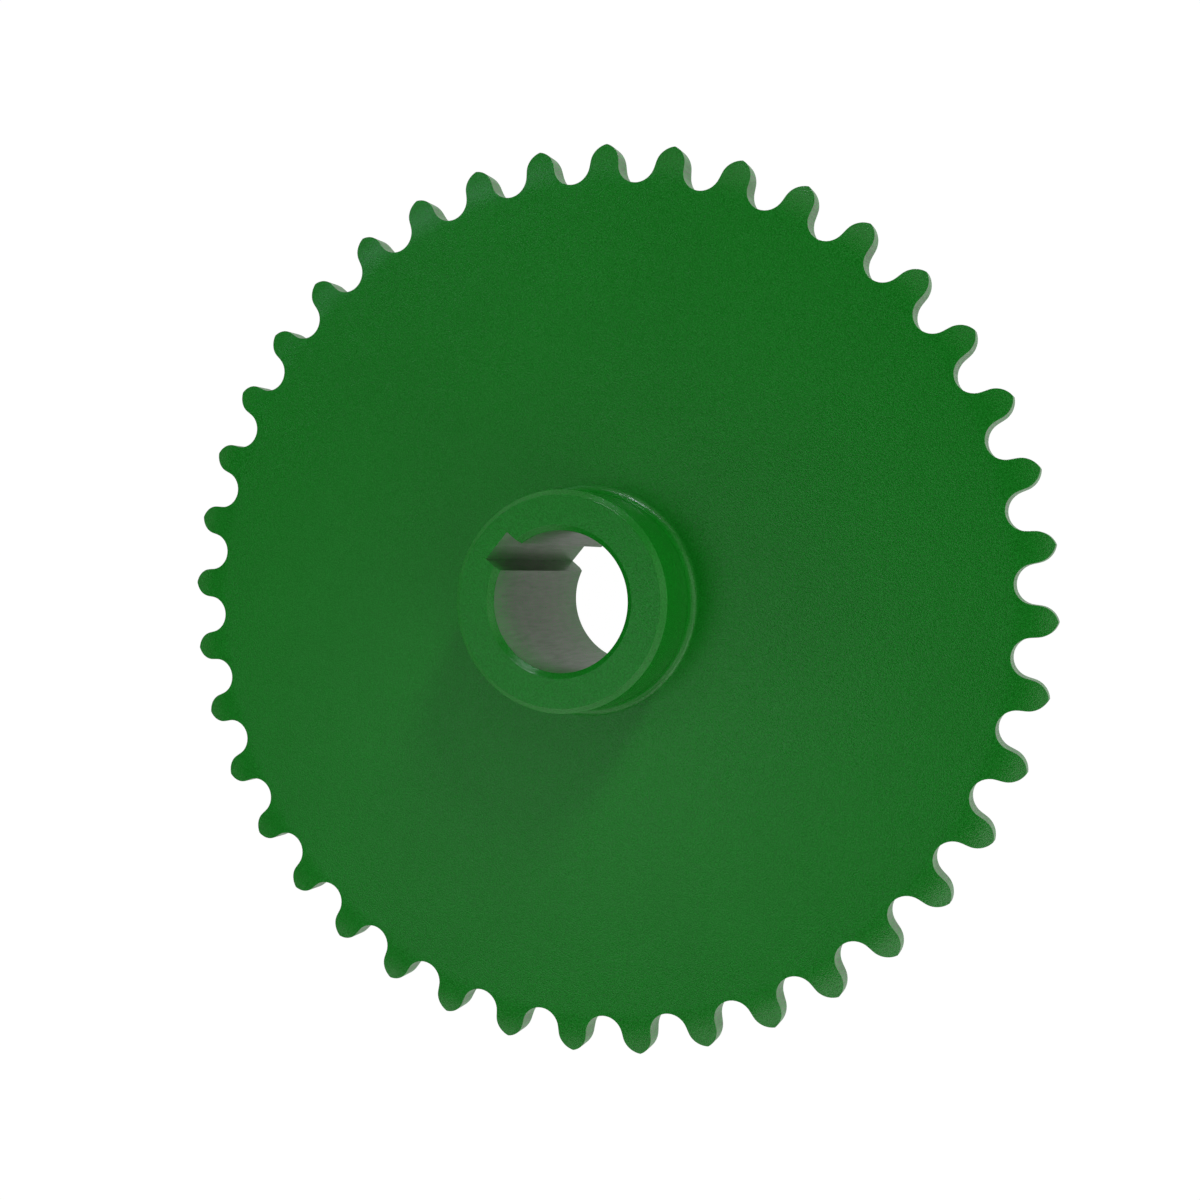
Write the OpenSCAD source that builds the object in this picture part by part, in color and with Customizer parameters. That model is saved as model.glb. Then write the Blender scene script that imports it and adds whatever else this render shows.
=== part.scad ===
// Roller chain sprocket: a flat toothed plate on a long through hub,
// with a plain bore and one keyway.
//
// It lies on the rear face of its hub. The origin is the centre of the bore
// on that face and +Z runs along the bore towards the front face of the hub.
// +X points from the axis to the middle of the keyway. Millimetres and degrees.

/* [Chain] */
// Distance from one chain pin to the next
pitch = 9.525; // [8:0.005:16]
// Diameter of the chain's rollers
roller_d = 5.08; // [3.3:0.01:5.5]
// Number of teeth round the rim
teeth = 40; // [17:1:80]

/* [Tooth form] */
// Room between a roller and its seat, on the radius
seat_clearance = 0.11; // [0:0.01:0.3]
// Lean of the straight flank away from the middle line of its gap
flank_lean = 9.8; // [4:0.1:16]
// Length of the straight flank, between the seat arc and the tip arc
flank_l = 0.9; // [0.2:0.05:1.5]
// Radius of the arc that rounds each side of a tooth over to its tip
tip_arc_r = 2.75; // [2.4:0.05:6]
// Angle from the keyway back to the middle of the nearest gap
gap_offset = 2.25; // [0:0.05:20]

/* [Plate] */
// Thickness of the toothed plate
plate_t = 4.4; // [3:0.1:8]
// How far in from the tips the sides of the teeth start to round over
relief_h = 6.1; // [2:0.1:8]
// How much that rounding takes off each side of a tooth at its tip
relief_w = 1; // [0.3:0.05:1.3]

/* [Hub] */
// Outer diameter of the hub
hub_d = 30; // [26:0.5:60]
// Height of the hub in front of the plate
hub_front_h = 11.7; // [3:0.1:40]
// Height of the hub behind the plate
hub_rear_h = 18; // [3:0.1:40]
// Chamfer round the outer edge of both hub faces
hub_chamfer = 0.75; // [0.1:0.05:1.5]
// Radius of the fillet where the hub meets the plate
root_fillet = 1.25; // [0.2:0.05:2.5]

/* [Bore and keyway] */
// Diameter of the bore
bore_d = 19.05; // [8:0.05:20]
// Chamfer round both ends of the bore
bore_chamfer = 0.75; // [0.1:0.05:1]
// Width of the keyway
key_w = 4.76; // [2:0.01:6]
// Depth of the keyway beyond the wall of the bore, on its middle line
key_depth = 2.08; // [0.8:0.01:2.4]

/* [Hidden] */

// overshoot of a cut past the face that it leaves through
cut = 1;

// along the axis
z_plate = hub_rear_h;
z_front = z_plate + plate_t;
z_top = z_front + hub_front_h;

// One gap is drawn about the line +Y, with the pitch circle's centre at the
// origin: a seat arc, a straight flank to each side of it, and a tip arc that
// carries each flank over to the middle of the next tooth.
pitch_r = pitch / (2 * sin(180 / teeth));
seat_r = roller_d / 2 + seat_clearance;
half_tooth = 180 / teeth;

// end of the seat arc and of the flank, on the side of +X
seat_end = [seat_r * cos(flank_lean), pitch_r - seat_r * sin(flank_lean)];
flank_end = seat_end + flank_l * [sin(flank_lean), cos(flank_lean)];

// middle of the tip arc, inside the tooth and square to the end of the flank
tip_arc_at = flank_end + tip_arc_r * [cos(flank_lean), -sin(flank_lean)];

// radius at which the two tip arcs of a tooth meet on its middle line
tip_line = [sin(half_tooth), cos(half_tooth)];
tip_along = tip_arc_at * tip_line;
tip_off = tip_arc_at * [tip_line[1], -tip_line[0]];
tip_r = tip_along + sqrt(tip_arc_r * tip_arc_r - tip_off * tip_off);

// the blank stands a little past the tips, which the gap cutters leave pointed
blank_r = tip_r + 0.5;

// radius of the rounding on the sides of the teeth, and where it starts
relief_at = tip_r - relief_h;
relief_r = (relief_h * relief_h + relief_w * relief_w) / (2 * relief_w);

// One cutter's outline: all that is air between the middles of two teeth.
module gap_outline() {
    far = blank_r + cut;
    reach = far * tan(half_tooth);
    // seat of the roller
    translate([0, pitch_r])
        circle(r = seat_r, $fn = 96);
    // between the flanks and out past the tips, less the two teeth
    difference() {
        polygon([
            [-seat_end[0], seat_end[1]],
            [seat_end[0], seat_end[1]],
            [flank_end[0], flank_end[1]],
            [tip_arc_at[0], flank_end[1]],
            [reach, far],
            [-reach, far],
            [-tip_arc_at[0], flank_end[1]],
            [-flank_end[0], flank_end[1]]
        ]);
        for (side = [-1, 1])
            translate([side * tip_arc_at[0], tip_arc_at[1]])
                circle(r = tip_arc_r, $fn = 120);
    }
}

// Half section of the plate, with both sides rounded over towards the tips.
module plate_section() {
    translate([0, z_plate])
        square([relief_at, plate_t]);
    intersection() {
        translate([relief_at - cut, z_plate])
            square([blank_r - relief_at + cut, plate_t]);
        translate([relief_at, z_front - relief_r])
            circle(r = relief_r, $fn = 360);
        translate([relief_at, z_plate + relief_r])
            circle(r = relief_r, $fn = 360);
    }
}

// Half section of the hub, chamfered at both faces.
module hub_section() {
    r = hub_d / 2;
    c = hub_chamfer;
    polygon([
        [0, 0],
        [r - c, 0],
        [r, c],
        [r, z_top - c],
        [r - c, z_top],
        [0, z_top]
    ]);
}

// Half section of the fillets between the hub and both sides of the plate.
module fillet_section() {
    r = hub_d / 2;
    f = root_fillet;
    difference() {
        translate([r - cut, z_plate - f])
            square([f + cut, plate_t + 2 * f]);
        translate([r + f, z_front + f])
            circle(r = f, $fn = 96);
        translate([r + f, z_plate - f])
            circle(r = f, $fn = 96);
    }
}

// The turned blank, before the teeth, the bore and the keyway are cut.
module blank() {
    rotate_extrude($fn = 360)
        union() {
            plate_section();
            hub_section();
            fillet_section();
        }
}

// The cutters of all the gaps.
module gaps() {
    for (i = [0:teeth - 1])
        rotate([0, 0, i * 360 / teeth - gap_offset - 90])
            translate([0, 0, z_plate - cut])
                linear_extrude(height = plate_t + 2 * cut)
                    gap_outline();
}

// The bore, chamfered at both ends.
module bore() {
    r = bore_d / 2;
    c = bore_chamfer;
    rotate_extrude($fn = 180)
        polygon([
            [0, -cut],
            [r + c + cut, -cut],
            [r, c],
            [r, z_top - c],
            [r + c + cut, z_top + cut],
            [0, z_top + cut]
        ]);
}

// The keyway, cut square from end to end of the bore.
module keyway() {
    translate([0, -key_w / 2, -cut])
        cube([bore_d / 2 + key_depth, key_w, z_top + 2 * cut]);
}

module sprocket() {
    color("forestgreen")
        difference() {
            blank();
            gaps();
            bore();
            keyway();
        }
}

sprocket();
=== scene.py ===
# %% [markdown]
# # A chain sprocket
# The real thing is one piece of steel: a flat plate with forty teeth on a long round hub, bored and cut with
# a keyway for its shaft. It was turned, its teeth were cut, it was painted, and the bore and the tooth edges
# were left bare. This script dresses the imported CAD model: it makes a finer skin over the same sizes, gives
# it paint and bare steel, and sets up a white room, a glowing table, a camera and lamps.
# Everything is in metres in the end, but a machinist thinks in millimetres, so the sizes below are in mm.

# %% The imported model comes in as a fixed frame
import math

import bpy
import numpy as np
from mathutils import Matrix


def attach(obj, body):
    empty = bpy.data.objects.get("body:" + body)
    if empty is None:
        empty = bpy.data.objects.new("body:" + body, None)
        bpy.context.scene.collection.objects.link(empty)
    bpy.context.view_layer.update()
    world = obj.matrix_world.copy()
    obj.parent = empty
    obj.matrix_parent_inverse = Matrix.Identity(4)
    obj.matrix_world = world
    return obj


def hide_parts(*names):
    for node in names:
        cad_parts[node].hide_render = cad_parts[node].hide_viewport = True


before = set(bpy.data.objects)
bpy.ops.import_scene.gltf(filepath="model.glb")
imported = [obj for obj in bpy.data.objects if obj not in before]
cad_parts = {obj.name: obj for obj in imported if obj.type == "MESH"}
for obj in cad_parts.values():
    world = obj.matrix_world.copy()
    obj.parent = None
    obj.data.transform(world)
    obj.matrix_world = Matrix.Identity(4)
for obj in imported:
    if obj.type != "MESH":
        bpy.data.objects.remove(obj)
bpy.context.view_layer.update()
MM = 0.001

# %% [markdown]
# ## The sizes of the sprocket
# A sprocket is drawn from its chain. The pins of the chain stand one pitch apart on the pitch circle, so the
# number of teeth and the pitch give the circle, and the rollers give the seats between the teeth.
# The other sizes are the plate, the hub with its chamfers and root fillets, the bore and the keyway.
# They are the same as in the CAD model, because the skin may not be larger or smaller than the part.

# %% Chain and tooth sizes, mm and degrees
PITCH, ROLLER_D = 9.525, 5.08
TEETH = 40
PITCH_R = PITCH / (2 * math.sin(math.pi / TEETH))
SEAT_PLAY = 0.11      # how much larger than the roller's radius its seat is
SEAT_R = ROLLER_D / 2 + SEAT_PLAY
FLANK_LEAN = math.radians(9.8)
FLANK_L = 0.9
TIP_ARC_R = 2.75
GAP_OFFSET = math.radians(2.25)      # the nearest gap is this far clockwise of the keyway
print("pitch circle, mm:", round(2 * PITCH_R, 3))

# %% Plate, hub, bore and keyway, mm
REAR_HUB_H, PLATE_T, FRONT_HUB_H = 18.0, 4.4, 11.7
RELIEF_H, RELIEF_W = 6.1, 1.0        # how far in from the tips the relief starts, how deep it gets
HUB_R, HUB_CHAMFER, ROOT_FILLET = 15.0, 0.75, 1.25
BORE_R, BORE_CHAMFER = 9.525, 0.75
KEY_W, KEY_DEPTH = 4.76, 2.08
KEY_HALF, KEY_FLOOR = KEY_W / 2, BORE_R + KEY_DEPTH
EDGE_BREAK = 0.06                    # how far a deburred edge is rounded off
TOTAL_H = REAR_HUB_H + PLATE_T + FRONT_HUB_H
print("height over the hub, mm:", round(TOTAL_H, 3))

# %% [markdown]
# ## The outline of the teeth
# A gap between two teeth is a seat arc that a roller sits in, a short straight flank at each side of it, and
# a tip arc that carries the flank over to the middle of the tooth. A cutter makes it in one pass, so every
# gap is the same. Half of one gap is worked out as points, mirrored, and turned to its forty places.
# Points in the plane are complex numbers here: turning them is then one multiplication.
# The outline can also be drawn back into the metal by an inset. All arcs keep their centres, so the seat arc
# grows and the tip arc shrinks by the inset. The rounded edge of the teeth needs that.

# %% One gap as points, and the whole rim
SEAT_STEPS, TIP_STEPS = 8, 9
PER_HALF = SEAT_STEPS + 1 + TIP_STEPS
COLUMNS = 2 * PER_HALF * TEETH


def half_gap(inset):
    """Half a gap about +Y: a point of an arc is its centre plus its radius times (cosine, sine) of an angle,
    and the tip arc ends where it meets the middle line of the tooth."""
    lean = np.exp(-1j * FLANK_LEAN)
    angles = np.linspace(-math.pi / 2, -FLANK_LEAN, SEAT_STEPS + 1)
    seat = 1j * PITCH_R + (SEAT_R + inset) * np.exp(1j * angles)
    flank_end = seat[-1] + FLANK_L * 1j * lean
    tip_centre = flank_end + (TIP_ARC_R - inset) * lean
    middle = 1j * np.exp(-1j * math.pi / TEETH)
    off = (tip_centre / middle).imag
    last = np.angle(middle * (np.sqrt((TIP_ARC_R - inset) ** 2 - off ** 2) - 1j * off))
    angles = np.linspace(math.pi - FLANK_LEAN, last, TIP_STEPS + 1)
    return np.concatenate([seat, tip_centre + (TIP_ARC_R - inset) * np.exp(1j * angles)])


def rim(inset):
    """The outline round the whole plate: half a gap backwards, its mirror image (minus the conjugate), and
    both turned by a tooth at a time. It starts in the middle of a tooth, half a turn from the keyway."""
    half = half_gap(inset)
    gap = np.concatenate([half[:0:-1], -np.conj(half[:-1])])
    turns = np.arange(-TEETH // 2, TEETH // 2) * 2 * math.pi / TEETH - GAP_OFFSET - math.pi / 2
    return (gap[None, :] * np.exp(1j * turns)[:, None]).ravel()


outline = rim(0)
column_angle = np.unwrap(np.angle(outline * np.exp(1j * GAP_OFFSET))) - GAP_OFFSET
column_angle -= 2 * math.pi * np.round(column_angle.mean() / (2 * math.pi))
TIP_R = np.abs(outline).max()
RELIEF_AT = TIP_R - RELIEF_H
# An arc that starts level and sinks by w over a length h has the radius (h squared plus w squared) over 2 w.
RELIEF_R = (RELIEF_H ** 2 + RELIEF_W ** 2) / (2 * RELIEF_W)
print("columns:", COLUMNS, " over the tips, mm:", round(2 * TIP_R, 3))

# %% [markdown]
# ## The half section
# Cut the sprocket in half along its axis, and the metal shows as a closed loop: up the bore and its
# chamfer, over the end of the hub, down its side, round the root fillet, out along the plate, over the
# rounded side of a tooth, and back in behind. Front and back are the same but for the length of the hub, so
# one list of points serves both: a radius, and a height above the face of the plate.
# A turned edge is never quite sharp. Each one is rounded here by a few rows of points, which catch the light
# as the broken edge of the real part does.

# %% The turned part of the section
FILLET_STEPS = 8      # strips of the root fillet


def broken_edge(before, corner, after, size):
    """Three points for a rounded corner: one on each leg, size away from the corner, and the middle of the
    parabola between them, which is a quarter of each plus half of the corner."""
    before, corner, after = (np.array(p, float) for p in (before, corner, after))
    first = corner + size * (before - corner) / np.linalg.norm(before - corner)
    last = corner + size * (after - corner) / np.linalg.norm(after - corner)
    return np.array([first, (first + last) / 4 + corner / 2, last])


def turned_section(hub_h):
    """Radius and height of each row from the bore to the start of the tooth relief: four broken edges, then
    the fillet as a quarter circle, then the plate."""
    corners = [
        (BORE_R, 0),
        (BORE_R, hub_h - BORE_CHAMFER),
        (BORE_R + BORE_CHAMFER, hub_h),
        (HUB_R - HUB_CHAMFER, hub_h),
        (HUB_R, hub_h - HUB_CHAMFER),
        (HUB_R, 0),
    ]
    edges = [broken_edge(*corners[i:i + 3], EDGE_BREAK) for i in range(len(corners) - 2)]
    turn = np.linspace(math.pi, 1.5 * math.pi, FILLET_STEPS + 1)
    fillet = np.stack([np.cos(turn), np.sin(turn)], 1) * ROOT_FILLET + [HUB_R + ROOT_FILLET, ROOT_FILLET]
    return np.concatenate([*edges, fillet, [[RELIEF_AT, 0]]])


print("rows from the bore to the relief:", len(turned_section(FRONT_HUB_H)))

# %% [markdown]
# ## From section to skin
# The skin is one grid: a row for each point of the section, a column for each point of the outline, both
# closed, like the surface of a ring. Rows near the bore bend out round the keyway. Rows on the teeth run
# from a circle to the outline, and sink with the relief, the large arc to which the sides of the teeth are
# turned.
# The keyway has corners at certain angles. The nearest columns are moved to those angles in the inner rows,
# so that a line of the grid lies on every corner.

# %% Rows that bend round the keyway
KEY_CORNER = math.atan2(KEY_HALF, KEY_FLOOR)
KEY_MOUTH = math.asin(KEY_HALF / BORE_R)
KEY_REACH = 0.5       # radians to each side of the keyway, within which columns are moved
NEAR_ZERO = 1e-6      # keeps divisions off nought, and the columns at the mouth on their circle
corner_columns = [
    int(np.abs(column_angle - a).argmin()) for a in (-KEY_MOUTH, -KEY_CORNER, KEY_CORNER, KEY_MOUTH)
]


def keyed_rows(section):
    """Each row is the circle of its radius or the outline of the keyway, whichever is further out. In polar
    form the keyway is the nearer of its floor, x over the cosine, and its walls, y over the sine. The mouth
    is as wide as the keyway in every row, so its angle is the arcsine of half that width over the radius."""
    radius = section[:, :1]
    mouth = np.arcsin(KEY_HALF / section[:, 0])
    held = [-KEY_REACH, *column_angle[corner_columns], KEY_REACH]
    angle = np.array([
        np.interp(column_angle, held, [-KEY_REACH, -m, -KEY_CORNER, KEY_CORNER, m, KEY_REACH])
        for m in mouth
    ])
    angle = np.where(np.abs(column_angle) < KEY_REACH, angle, column_angle)
    floor = KEY_FLOOR / np.maximum(np.cos(angle), NEAR_ZERO)
    wall = KEY_HALF / np.maximum(np.abs(np.sin(angle)), NEAR_ZERO)
    keyway = np.where(np.abs(angle) < mouth[:, None] - NEAR_ZERO, np.minimum(floor, wall), 0)
    return np.maximum(radius, keyway) * np.exp(1j * angle)


# %% Rows over the side of a tooth
RELIEF_ROWS = 6


def relief_drop(radius):
    """How far the turned side of a tooth lies below the plate: the sagitta of the relief arc there."""
    out = np.maximum(radius - RELIEF_AT, 0)
    return RELIEF_R - np.sqrt(RELIEF_R ** 2 - out ** 2)


def tooth_rows():
    """From the circle where the relief starts to the outline, in equal steps, then over the broken edge: its
    rows lie at 0, 45 and 90 degrees round a small arc, so the last one is on the tooth's own edge."""
    share = np.linspace(0, 1, RELIEF_ROWS + 1)[1:, None]
    start = RELIEF_AT * np.exp(1j * column_angle)
    side = (1 - share) * start + share * rim(EDGE_BREAK)
    sunk = EDGE_BREAK * (1 - math.sqrt(0.5))
    edge = np.array([rim(sunk), rim(0)])
    plan = np.concatenate([side, edge])
    height = -relief_drop(np.abs(plan))
    height[-2] -= sunk
    height[-1] -= EDGE_BREAK
    return plan, height


# %% One face of the sprocket, then both
KEYED = 6     # rows that the keyway cuts: two broken edges of three rows


def face(hub_h):
    """Plan and height of all rows from the bore out to the tooth edge, the turned ones as radius times
    (cosine, sine) of the column's angle."""
    section = turned_section(hub_h)
    plain = section[KEYED:, :1] * np.exp(1j * column_angle)
    teeth, teeth_height = tooth_rows()
    plan = np.concatenate([keyed_rows(section[:KEYED]), plain, teeth])
    height = np.concatenate([np.repeat(section[:, 1:], COLUMNS, 1), teeth_height])
    return plan, height


front_plan, front_height = face(FRONT_HUB_H)
rear_plan, rear_height = face(REAR_HUB_H)
plan = np.concatenate([front_plan, [outline], rear_plan[::-1]])
level = np.concatenate([
    REAR_HUB_H + PLATE_T + front_height,
    np.full((1, COLUMNS), REAR_HUB_H + PLATE_T / 2),
    REAR_HUB_H - rear_height[::-1],
])
ROWS = len(plan)
FACE_ROWS = len(front_plan)
print("rows:", ROWS, " triangles:", 2 * ROWS * COLUMNS)

# %% [markdown]
# ## Paint and bare metal
# The sprocket was painted whole and then finished: the bore, the keyway and the edges of the teeth are cut
# or wiped clean, and the rest keeps its paint. So each strip of the grid, which lies between one row and the
# next, knows whether it is painted. The line between the two runs in the middle of the broken edges.

# %% Which strips are painted, and which points lie on sharp edges
strip = np.arange(ROWS)
LAST_EDGE = FACE_ROWS - 1       # the row where the front's broken tooth edge ends
bare_strip = (strip == 0) | (strip >= ROWS - 2) | ((strip >= LAST_EDGE - 1) & (strip <= LAST_EDGE + 2))
keyed_strip = (strip < KEYED - 1) | (strip >= ROWS - KEYED)
column = np.arange(COLUMNS)
in_keyway = (column >= corner_columns[0]) & (column < corner_columns[3])
bare = bare_strip[:, None] | (keyed_strip[:, None] & in_keyway[None, :])
tooth_strip = (strip >= LAST_EDGE - 2) & (strip <= LAST_EDGE + 3)
print("bare share of the grid:", round(float(bare.mean()), 3))

corner = np.isin(column, corner_columns)[None, :] & (keyed_strip | np.roll(keyed_strip, 1))[:, None]
row_end = (strip == KEYED - 1) | (strip == ROWS - KEYED)
mouth = row_end[:, None] & (in_keyway | np.roll(in_keyway, 1))[None, :]
point = (tooth_strip | np.roll(tooth_strip, 1))[:, None] & (column % (2 * PER_HALF) == 0)[None, :]
sharp = corner | mouth | point
print("points on sharp edges:", int(sharp.sum()))

# %% [markdown]
# ## The mesh
# The grid becomes quads: each one joins a point to the next in its row and in the next row, and the last row
# and column join the first, so the skin is closed.
# Shading across a corner needs care. Plain smooth shading would bend the light on a flat face near its
# broken edges. So each point's normal is an average in which a face counts with the square of its area, and
# the wide flat faces win. The corners of the keyway and the points of the teeth keep the normals of their
# own faces.
# The new skin rides on the part's body and takes the place of its CAD node, which is hidden.

# %% The skin of the sprocket


def grid_mesh(name, points):
    """A closed grid as a mesh: a face's corners are (row, column), (row + 1, column), (row + 1, column + 1)
    and (row, column + 1), all counted modulo the size of the grid. A face's area and normal are half the
    cross product of its diagonals. The volume is a sixth of the sum, over all triangles, of one corner
    dotted with the cross product of the other two."""
    here = np.arange(ROWS * COLUMNS).reshape(ROWS, COLUMNS)
    right, down = np.roll(here, -1, 1), np.roll(here, -1, 0)
    across = np.roll(right, -1, 0)
    quads = np.stack([here, down, across, right], -1).reshape(-1, 4)
    mesh = bpy.data.meshes.new(name)
    mesh.vertices.add(len(points))
    mesh.vertices.foreach_set("co", (points * MM).ravel().astype(np.float32))
    mesh.loops.add(quads.size)
    mesh.loops.foreach_set("vertex_index", quads.ravel().astype(np.int32))
    mesh.polygons.add(len(quads))
    mesh.polygons.foreach_set("loop_start", np.arange(0, quads.size, 4, dtype=np.int32))
    mesh.update(calc_edges=True)
    mesh.shade_smooth()
    first, second, third, fourth = (points[quads[:, k]] for k in range(4))
    area = np.cross(third - first, fourth - second) / 2
    volume = ((first * np.cross(second, third)).sum() + (first * np.cross(third, fourth)).sum()) / 6
    print(name, "faces:", len(quads), " volume, mm3:", round(volume, 1))
    return mesh, quads, area


def corner_normals(quads, area):
    """For each corner of each face, the sum over the faces round its point of area vector times area, made
    unit length, or the face's own normal where the point lies on a sharp edge."""
    size = np.linalg.norm(area, axis=1, keepdims=True)
    weighted = (area * size).reshape(ROWS, COLUMNS, 3)
    above = weighted + np.roll(weighted, 1, 0)
    smooth = (above + np.roll(above, 1, 1)).reshape(-1, 3)
    smooth /= np.linalg.norm(smooth, axis=1, keepdims=True)
    own = np.repeat(area / size, 4, 0)
    return np.where(sharp.ravel()[quads.ravel()][:, None], own, smooth[quads.ravel()])


skin_points = np.stack([plan.real, plan.imag, level], -1).reshape(-1, 3)
skin, quads, area = grid_mesh("sprocket_skin", skin_points)
skin.polygons.foreach_set("material_index", bare.ravel().astype(np.int32))
skin.normals_split_custom_set(corner_normals(quads, area).tolist())
print("problems in the mesh:", skin.validate(verbose=True))
sprocket = bpy.data.objects.new("sprocket_skin", skin)
bpy.context.scene.collection.objects.link(sprocket)
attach(sprocket, "root")
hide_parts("sprocket")

# %% [markdown]
# ## Tools for materials
# A material is a tree of nodes. One function adds a node, sets it and links it, and one turns a colour as it
# is seen on a screen into the linear one that light adds up in.

# %% A node, and a colour


def node(tree, kind, inputs=(), **settings):
    """Adds a node. Settings are its own properties. Inputs are pairs of a socket's name or number and either
    a plain value or the output that feeds it."""
    made = tree.nodes.new(kind)
    for name, value in settings.items():
        setattr(made, name, value)
    for key, value in dict(inputs).items():
        if isinstance(value, bpy.types.NodeSocket):
            tree.links.new(value, made.inputs[key])
        else:
            made.inputs[key].default_value = value
    return made


def linear(colour):
    """An sRGB hex colour as linear red, green, blue and alpha: a straight line for the darkest values, and a
    power of 2.4 above them."""
    value = np.array([int(colour[i:i + 2], 16) for i in (1, 3, 5)]) / 255
    value = np.where(value <= 0.04045, value / 12.92, ((value + 0.055) / 1.055) ** 2.4)
    return (*value.tolist(), 1.0)


def per_mm(size):
    """The scale of a pattern whose features are this many millimetres wide, in metres' coordinates."""
    return 1 / (size * MM)


def new_material(name):
    """An empty material with its output, its shader and Object coordinates."""
    made = bpy.data.materials.new(name)
    made.use_nodes = True
    made.node_tree.nodes.clear()
    tree = made.node_tree
    shader = node(tree, "ShaderNodeBsdfPrincipled")
    node(tree, "ShaderNodeOutputMaterial", {"Surface": shader.outputs["BSDF"]})
    place = node(tree, "ShaderNodeTexCoord").outputs["Object"]
    return made, tree, shader, place


print("linear grey of #808080:", round(linear("#808080")[0], 3))

# %% [markdown]
# ## Green powder coat
# The paint is a powder coat: dry polyester powder, sprayed on and melted in an oven. It flows into a tough,
# half-glossy film that is never quite flat. The eye sees a deep even green with a very fine grain, a tenth
# or two of a millimetre wide, which breaks reflections up softly, and a slow unevenness over a couple of
# centimetres where the film is thicker or thinner.

# %% The powder coat
paint, tree, shader, place = new_material("green_powder_coat")
cloud = node(tree, "ShaderNodeTexNoise", {"Vector": place, "Scale": per_mm(18), "Detail": 2.0})
grain = node(tree, "ShaderNodeTexNoise", {"Vector": place, "Scale": per_mm(0.17), "Detail": 1.0})
film = node(tree, "ShaderNodeMapRange", {
    "Value": cloud.outputs["Fac"], "From Min": 0.3, "From Max": 0.7, "To Min": 0.975, "To Max": 1.025})
tone = node(tree, "ShaderNodeValToRGB", {"Fac": grain.outputs["Fac"]})
tone.color_ramp.elements[0].position = 0.25
tone.color_ramp.elements[0].color = linear("#02760c")
tone.color_ramp.elements[1].position = 0.75
tone.color_ramp.elements[1].color = linear("#1b9629")
colour = node(tree, "ShaderNodeVectorMath", {0: tone.outputs["Color"], 1: film.outputs["Result"]},
              operation="MULTIPLY")
gloss = node(tree, "ShaderNodeMapRange", {
    "Value": grain.outputs["Fac"], "From Min": 0.25, "From Max": 0.75, "To Min": 0.16, "To Max": 0.27})
peel = node(tree, "ShaderNodeBump", {
    "Height": grain.outputs["Fac"], "Strength": 1.0, "Distance": 0.035 * MM})
tree.links.new(colour.outputs["Vector"], shader.inputs["Base Color"])
tree.links.new(gloss.outputs["Result"], shader.inputs["Roughness"])
tree.links.new(peel.outputs["Normal"], shader.inputs["Normal"])
shader.inputs["IOR"].default_value = 1.45
skin.materials.append(paint)
print(paint.name, "nodes:", len(tree.nodes))

# %% [markdown]
# ## Bare machined steel
# The bore, the keyway and the edges of the teeth are plain carbon steel, cut, oiled and left bare. The eye
# sees a dark warm grey metal, fairly smooth, with fine marks along the bore and across the teeth, as the
# tools moved, which spread its reflections.
# The spray gun reached these edges a little, so a fine mist of green droplets lies on the steel and tints it
# most where it is dark. Where there is a droplet, the metal turns to paint. More mist reached the teeth and
# both ends of the bore than the middle of the bore, so the distance from there adds to it. Real droplets are
# a few hundredths of a millimetre wide. They are drawn at a tenth.

# %% The bare steel
steel, tree, shader, place = new_material("bare_machined_steel")
marks = node(tree, "ShaderNodeMapping", {"Vector": place, "Scale": (1.0, 1.0, 0.08)})
cut = node(tree, "ShaderNodeTexNoise", {
    "Vector": marks.outputs["Vector"], "Scale": per_mm(0.3), "Detail": 2.0})
stain = node(tree, "ShaderNodeTexNoise", {"Vector": place, "Scale": per_mm(3.0), "Detail": 2.0})
mist = node(tree, "ShaderNodeTexNoise", {"Vector": place, "Scale": per_mm(0.1), "Detail": 1.0})
tone = node(tree, "ShaderNodeValToRGB", {"Fac": stain.outputs["Fac"]})
tone.color_ramp.elements[0].position = 0.3
tone.color_ramp.elements[0].color = linear("#7f7e77")
tone.color_ramp.elements[1].position = 0.7
tone.color_ramp.elements[1].color = linear("#87857d")
inside = node(tree, "ShaderNodeVectorMath", {0: place, 1: (0.0, 0.0, TOTAL_H / 2 * MM)},
              operation="DISTANCE")
reach = node(tree, "ShaderNodeMapRange", {
    "Value": inside.outputs["Value"],
    "From Min": 11 * MM, "From Max": 19 * MM, "To Min": 0.0, "To Max": 0.045})
cover = node(tree, "ShaderNodeMath", {0: mist.outputs["Fac"], 1: reach.outputs["Result"]}, operation="ADD")
drops = node(tree, "ShaderNodeMapRange", {
    "Value": cover.outputs["Value"], "From Min": 0.51, "From Max": 0.57, "To Min": 0.0, "To Max": 1.0})
metal = node(tree, "ShaderNodeMath", {0: 1.0, 1: drops.outputs["Result"]}, operation="SUBTRACT")
# A Mix node keeps its two colours in the sockets 6 and 7, and the mixed colour is its output 2.
colour = node(tree, "ShaderNodeMix", {
    0: drops.outputs["Result"], 6: tone.outputs["Color"], 7: linear("#14a82c")}, data_type="RGBA")
gloss = node(tree, "ShaderNodeMapRange", {
    "Value": cut.outputs["Fac"], "From Min": 0.3, "From Max": 0.7, "To Min": 0.32, "To Max": 0.42})
marks_bump = node(tree, "ShaderNodeBump", {
    "Height": cut.outputs["Fac"], "Strength": 1.0, "Distance": 0.002 * MM})
tree.links.new(colour.outputs[2], shader.inputs["Base Color"])
tree.links.new(metal.outputs["Value"], shader.inputs["Metallic"])
tree.links.new(gloss.outputs["Result"], shader.inputs["Roughness"])
tree.links.new(marks_bump.outputs["Normal"], shader.inputs["Normal"])
skin.materials.append(steel)
print(steel.name, "nodes:", len(tree.nodes))

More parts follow.
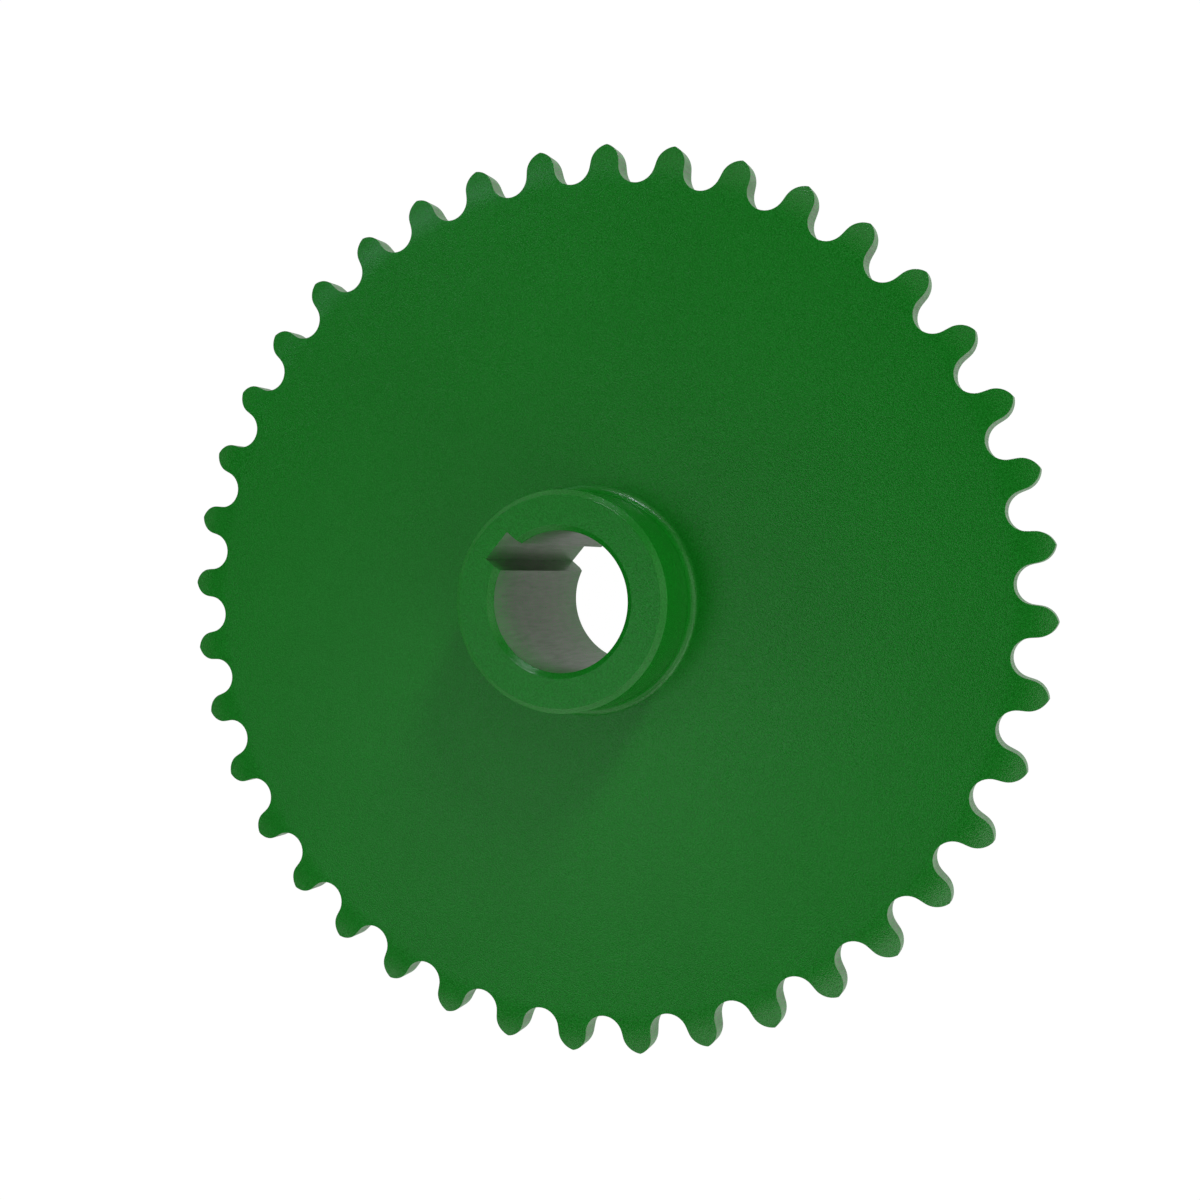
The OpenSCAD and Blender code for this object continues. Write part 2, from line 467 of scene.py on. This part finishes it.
# %% [markdown]
# ## Floor and background
# The sprocket lies on a plain white ground that keeps no shadow, so every tooth stands clear against white.
# A photographer gets that by lighting the paper much more than the object. Here two sheets share the work:
# a dimmer glowing table lights the sprocket from below and shows in its steel, and only the camera sees the
# white room.
# The room is a flat floor whose edge rises into a dome, so the ground is the same from any side.

# %% Two sheets for the studio
SIDES = 96      # of the room and the table, seen from above


def studio_sheet(name, profile, colour, glow):
    """A profile of (radius, height) pairs in metres turned round the axis: radius times (cosine, sine) of
    one angle for each side, closed at the middle by one flat face."""
    turn = np.exp(2j * math.pi * np.arange(SIDES) / SIDES)
    radius, height = np.array(profile).T
    ring = radius[:, None] * turn[None, :]
    points = np.stack([ring.real, ring.imag, np.repeat(height[:, None], SIDES, 1)], -1).reshape(-1, 3)
    here = np.arange(SIDES * (len(profile) - 1)).reshape(-1, SIDES)
    right = np.roll(here, -1, 1)
    quads = np.stack([here, right, right + SIDES, here + SIDES], -1).reshape(-1, 4)[:, ::-1]
    mesh = bpy.data.meshes.new(name)
    mesh.from_pydata(points.tolist(), [], [list(range(SIDES))] + quads.tolist())
    made, _, shader, _ = new_material(name + "_paper")
    shader.inputs["Base Color"].default_value = linear(colour)
    shader.inputs["Roughness"].default_value = 0.9
    shader.inputs["Emission Color"].default_value = (1.0, 1.0, 1.0, 1.0)
    shader.inputs["Emission Strength"].default_value = glow
    mesh.materials.append(made)
    sheet = bpy.data.objects.new(name, mesh)
    bpy.context.scene.collection.objects.link(sheet)
    print(name, "faces:", len(mesh.polygons))
    return sheet


ROOM_R = 4.0            # metres
DOME_ROWS = 24
rise = np.linspace(0, 0.49 * math.pi, DOME_ROWS)      # from the floor almost to the top
dome = [(ROOM_R * math.cos(a), ROOM_R * math.sin(a)) for a in rise]
room = studio_sheet("white_room", dome, "#000000", 1.0)
table = studio_sheet("glowing_table", [(ROOM_R / 2, -MM), (ROOM_R, -MM)], "#c0c0c0", 0.45)
for ray in ("diffuse", "glossy", "transmission", "shadow", "volume_scatter"):
    setattr(room, "visible_" + ray, False)
table.visible_camera = False

# %% [markdown]
# ## Camera
# The photograph was taken from high up, a little to one side. Every tooth gap was matched to find the place:
# the camera looks down at 71 degrees, and a lens of 50 mm on a 36 mm frame gives the same perspective.
# The image is turned so that the hub leans to the left, which the roll about the line of sight gives.

# %% The camera
AIM = np.array([-1.377, -1.287, 22.4])     # mm, on the front face of the plate
DISTANCE = 232.43                           # mm
AZIMUTH, ELEVATION, ROLL = (math.radians(a) for a in (-136.817, 70.812, -92.53))
back = np.array([
    math.cos(ELEVATION) * math.cos(AZIMUTH), math.cos(ELEVATION) * math.sin(AZIMUTH), math.sin(ELEVATION)])
level_right = np.cross([0, 0, 1], back)
level_right /= np.linalg.norm(level_right)
level_up = np.cross(back, level_right)
right = math.cos(ROLL) * level_right + math.sin(ROLL) * level_up
up = math.cos(ROLL) * level_up - math.sin(ROLL) * level_right
lens = bpy.data.cameras.new("camera")
lens.lens, lens.sensor_width = 50.1, 36.0
lens.clip_start, lens.clip_end = 0.01, 50.0
camera = bpy.data.objects.new("camera", lens)
bpy.context.scene.collection.objects.link(camera)
pose = np.eye(4)
pose[:3, :3] = np.stack([right, up, back], 1)
pose[:3, 3] = (AIM + DISTANCE * back) * MM
camera.matrix_world = Matrix(pose.tolist())
bpy.context.scene.camera = camera
print("camera axes:", np.round(pose[:3, :3], 5).tolist())
print("camera place, mm:", np.round(pose[:3, 3] / MM, 2).tolist())

# %% [markdown]
# ## Studio light
# Lamps with soft boxes stand round the table. Their places are given as a photographer would: a bearing as
# seen in the picture (0 is its right side, 90 its top) and a height above the table, both in degrees, then
# how wide and how tall the box looks from the sprocket, in degrees too.
# Two numbers say how much light a box sends: one for the paint's own colour, which sees it as soft light and
# shadow, and one for gloss, which sees it as a reflection. Studios split the two with flags and filters.
# The key stands low at the upper right and throws the short soft shadow of the hub. A narrow strip beside it
# only shines: it makes the glints on the fillet and the chamfers. The others fill. The flat plate mirrors
# the dim space high above, which keeps its green deep.

# %% The lamps
PICTURE_RIGHT = math.radians(-139.5)
COLOUR_AT, GLOSS_AT = 1.3, 1.2     # metres: two boxes in one place would hide each other
lamps = [
    # name, bearing, height, wide, tall in degrees, light for colour, light for gloss, tint
    ("key", 60, 24, 9, 20, 0.86, 0, "#ffffff"),
    ("glint_strip", 81, 26, 4, 8, 0, 0.92, "#f0f4ff"),
    ("wall_front_right", 315, 15, 40, 30, 0.56, 0.16, "#ffffff"),
    ("wall_right", 350, 15, 40, 30, 0.31, 0.16, "#ffffff"),
    ("right_high", 340, 48, 60, 24, 0.23, 0.57, "#ffffff"),
    ("right_far", 22, 26, 34, 30, 0.06, 0.21, "#ffffff"),
    ("back_high", 80, 52, 40, 16, 0.16, 0.16, "#ffffff"),
    ("back_left", 125, 20, 34, 24, 0.06, 0.07, "#ffffff"),
    ("window", 138, 45, 18, 14, 0, 0.17, "#dfe8ff"),
    ("left_high", 150, 60, 20, 16, 0.12, 0, "#ffffff"),
    ("left_strip", 185, 21, 50, 14, 0.71, 0.08, "#ffffff"),
    ("left_low", 170, 7, 60, 10, 0.12, 0, "#ffffff"),
    ("overhead", 201, 70, 18, 24, 0.18, 0.122, "#f0f4ff"),
    ("front_mid", 245, 26, 50, 20, 0.48, 0.37, "#ffffff"),
    ("front_high", 285, 50, 40, 16, 0, 0.36, "#ffffff"),
    ("front_low", 285, 6, 90, 10, 0, 0.35, "#ffffff"),
    ("right_low", 330, 7, 60, 10, 0.02, 0, "#ffffff"),
]


def lamp(name, distance, bearing, height, wide, tall, light, colour):
    """An area light on a sphere about the plate: its place is the distance times the direction, its own z
    axis points back out along it, and a box that looks a degrees wide is 2 tan(a/2) times the distance wide.
    The power in watts is pi times the light and the square of the distance."""
    turn, rise = PICTURE_RIGHT + math.radians(bearing), math.radians(height)
    out = np.array([math.cos(rise) * math.cos(turn), math.cos(rise) * math.sin(turn), math.sin(rise)])
    side = np.array([-math.sin(turn), math.cos(turn), 0.0])
    box = bpy.data.lights.new(name, "AREA")
    box.shape = "RECTANGLE"
    box.size = 2 * distance * math.tan(math.radians(wide / 2))
    box.size_y = 2 * distance * math.tan(math.radians(tall / 2))
    box.energy = math.pi * light * distance ** 2
    box.color = linear(colour)[:3]
    made = bpy.data.objects.new(name, box)
    made.visible_camera = False
    bpy.context.scene.collection.objects.link(made)
    place = np.eye(4)
    place[:3, :3] = np.stack([side, np.cross(out, side), out], 1)
    place[:3, 3] = out * distance + [0, 0, REAR_HUB_H * MM]
    made.matrix_world = Matrix(place.tolist())
    return made


for name, bearing, height, wide, tall, for_colour, for_gloss, tint in lamps:
    if for_colour:
        lamp(name, COLOUR_AT, bearing, height, wide, tall, for_colour, tint).visible_glossy = False
    if for_gloss:
        lamp(name + "_shine", GLOSS_AT, bearing, height, wide, tall, for_gloss, tint).visible_diffuse = False
print("light for colour:", round(sum(row[5] for row in lamps), 2))
print("light for gloss:", round(sum(row[6] for row in lamps), 2))

# %% The dim studio above the lamps
world = bpy.data.worlds.new("studio")
world.use_nodes = True
world.node_tree.nodes["Background"].inputs["Color"].default_value = (1.0, 1.0, 1.0, 1.0)
world.node_tree.nodes["Background"].inputs["Strength"].default_value = 0.055
bpy.context.scene.world = world
bpy.context.scene.view_settings.view_transform = "Standard"
print("world:", world.name)
